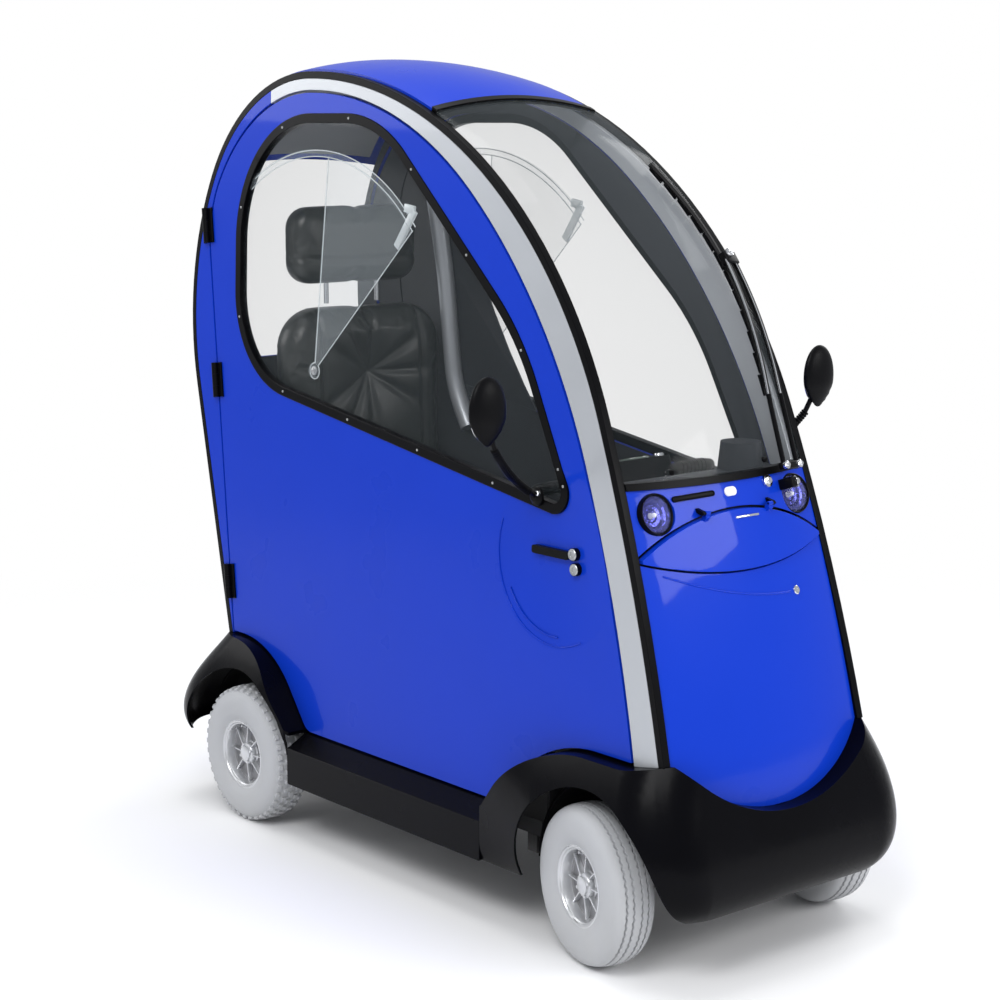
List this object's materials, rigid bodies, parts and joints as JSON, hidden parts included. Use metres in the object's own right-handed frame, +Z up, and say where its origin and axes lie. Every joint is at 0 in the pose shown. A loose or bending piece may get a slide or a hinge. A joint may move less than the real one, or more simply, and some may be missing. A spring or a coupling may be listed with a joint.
{
  "type": "enclosed mobility scooter",
  "caption": "Four-wheeled covered mobility scooter with a tall narrow cab, windowed side doors, a steering tiller and one padded seat.",
  "frame": {"origin": "centre of the bounding box's underside, on the floor the wheels stand on", "axes": "front of the vehicle toward -Y, +X to the vehicle's left, +Z up"},
  "size_m": [1.044, 1.8453, 1.8159],
  "materials": {
    "blue_paint": "gloss",
    "silver_paint": "satin",
    "black_moulding": "semi-gloss",
    "black_plastic": "matte",
    "seal_rubber": "satin",
    "clear_pane": "clear",
    "red_lens": "gloss",
    "chassis_paint": "satin",
    "floor_mat": "matte",
    "black_leather": "satin",
    "bright_metal": "polished",
    "grey_tyre": "matte",
    "silver_rim": "satin"
  },
  "bodies": {
    "body": {"chassis_frame": "chassis_paint", "front_axle_beam": "chassis_paint", "rear_transaxle": "chassis_paint", "floor_tub": "floor_mat", "wheelhouses": "black_plastic", "front_moulding": "black_moulding", "rear_moulding": "black_moulding", "sills": "black_moulding", "side_arches": "silver_paint", "rear_quarters": "blue_paint", "corner_seals": "seal_rubber", "nose_panel": "blue_paint", "cowl_panel": "blue_paint", "lid_hinges": "blue_paint", "windscreen": "clear_pane", "screen_seal": "seal_rubber", "roof_panel": "blue_paint", "rear_window": "clear_pane", "rear_wall": "blue_paint", "headlamps": "clear_pane", "tail_lamps": "red_lens", "wiper": "black_plastic", "dashboard": "black_plastic", "tiller_boss": "black_plastic", "hinge_leaves": "black_plastic", "battery_box": "black_plastic", "seat_frame": "chassis_paint", "seat_cushion": "black_leather", "seat_back": "black_leather", "headrest": "black_leather", "headrest_posts": "bright_metal"},
    "door_left": {"door_left": "blue_paint", "window_seal_left": "seal_rubber", "window_pane_left": "clear_pane", "vent_pane_left": "clear_pane", "door_fittings_left": "black_plastic", "mirror_left": "black_plastic"},
    "door_right": {"door_right": "blue_paint", "window_seal_right": "seal_rubber", "window_pane_right": "clear_pane", "vent_pane_right": "clear_pane", "door_fittings_right": "black_plastic", "mirror_right": "black_plastic"},
    "nose_lid": {"nose_lid": "blue_paint"},
    "tiller": {"tiller_column": "bright_metal", "tiller_head": "black_plastic"},
    "knuckle_left": {"knuckle_left": "chassis_paint"},
    "knuckle_right": {"knuckle_right": "chassis_paint"},
    "tie_rod": {"tie_rod": "chassis_paint"},
    "wheel_front_left": {"tyre_front_left": "grey_tyre", "rim_front_left": "silver_rim"},
    "wheel_front_right": {"tyre_front_right": "grey_tyre", "rim_front_right": "silver_rim"},
    "wheel_rear_left": {"tyre_rear_left": "grey_tyre", "rim_rear_left": "silver_rim"},
    "wheel_rear_right": {"tyre_rear_right": "grey_tyre", "rim_rear_right": "silver_rim"}
  },
  "joints": [
    {"name": "door_left_hinge", "type": "hinge", "parent": "body", "child": "door_left", "pos_m": [0.27679, 0.77349, 1.052], "axis": [-0.0352, 0.1287, 0.9911], "range_deg": [0, 75]},
    {"name": "door_right_hinge", "type": "hinge", "parent": "body", "child": "door_right", "pos_m": [-0.27679, 0.77349, 1.052], "axis": [-0.0352, -0.1287, -0.9911], "range_deg": [0, 75]},
    {"name": "nose_lid_hinge", "type": "hinge", "parent": "body", "child": "nose_lid", "pos_m": [0, -0.731, 0.907], "axis": [-1, 0, 0], "range_deg": [0, 70]},
    {"name": "tiller_turn", "type": "hinge", "parent": "body", "child": "tiller", "pos_m": [0, -0.56, 0.387], "axis": [0, 0.2522, 0.9677], "range_deg": [-18, 42]},
    {"name": "kingpin_left", "type": "hinge", "parent": "body", "child": "knuckle_left", "pos_m": [0.235, -0.666, 0.165], "axis": [0, 0, 1], "range_deg": [-18, 42]},
    {"name": "kingpin_right", "type": "hinge", "parent": "body", "child": "knuckle_right", "pos_m": [-0.235, -0.666, 0.165], "axis": [0, 0, 1], "range_deg": [-18, 42]},
    {"name": "tie_rod_pivot", "type": "hinge", "parent": "knuckle_left", "child": "tie_rod", "pos_m": [0.25371, -0.57797, 0.13], "axis": [0, 0, 1], "range_deg": [-42, 18]},
    {"name": "front_wheel_left_spin", "type": "hinge", "parent": "knuckle_left", "child": "wheel_front_left", "pos_m": [0.30836, -0.68159, 0.165], "axis": [0.9781, -0.2079, 0], "continuous": true},
    {"name": "rear_wheel_left_spin", "type": "hinge", "parent": "body", "child": "wheel_rear_left", "pos_m": [0.31, 0.574, 0.165], "axis": [1, 0, 0], "continuous": true},
    {"name": "front_wheel_right_spin", "type": "hinge", "parent": "knuckle_right", "child": "wheel_front_right", "pos_m": [-0.30836, -0.65041, 0.165], "axis": [0.9781, -0.2079, 0], "continuous": true},
    {"name": "rear_wheel_right_spin", "type": "hinge", "parent": "body", "child": "wheel_rear_right", "pos_m": [-0.31, 0.574, 0.165], "axis": [1, 0, 0], "continuous": true}
  ],
  "couplings": [
    {"joint": "kingpin_left", "follows": "tiller_turn", "ratio": 1},
    {"joint": "kingpin_right", "follows": "tiller_turn", "ratio": 1},
    {"joint": "tie_rod_pivot", "follows": "tiller_turn", "ratio": -1}
  ]
}
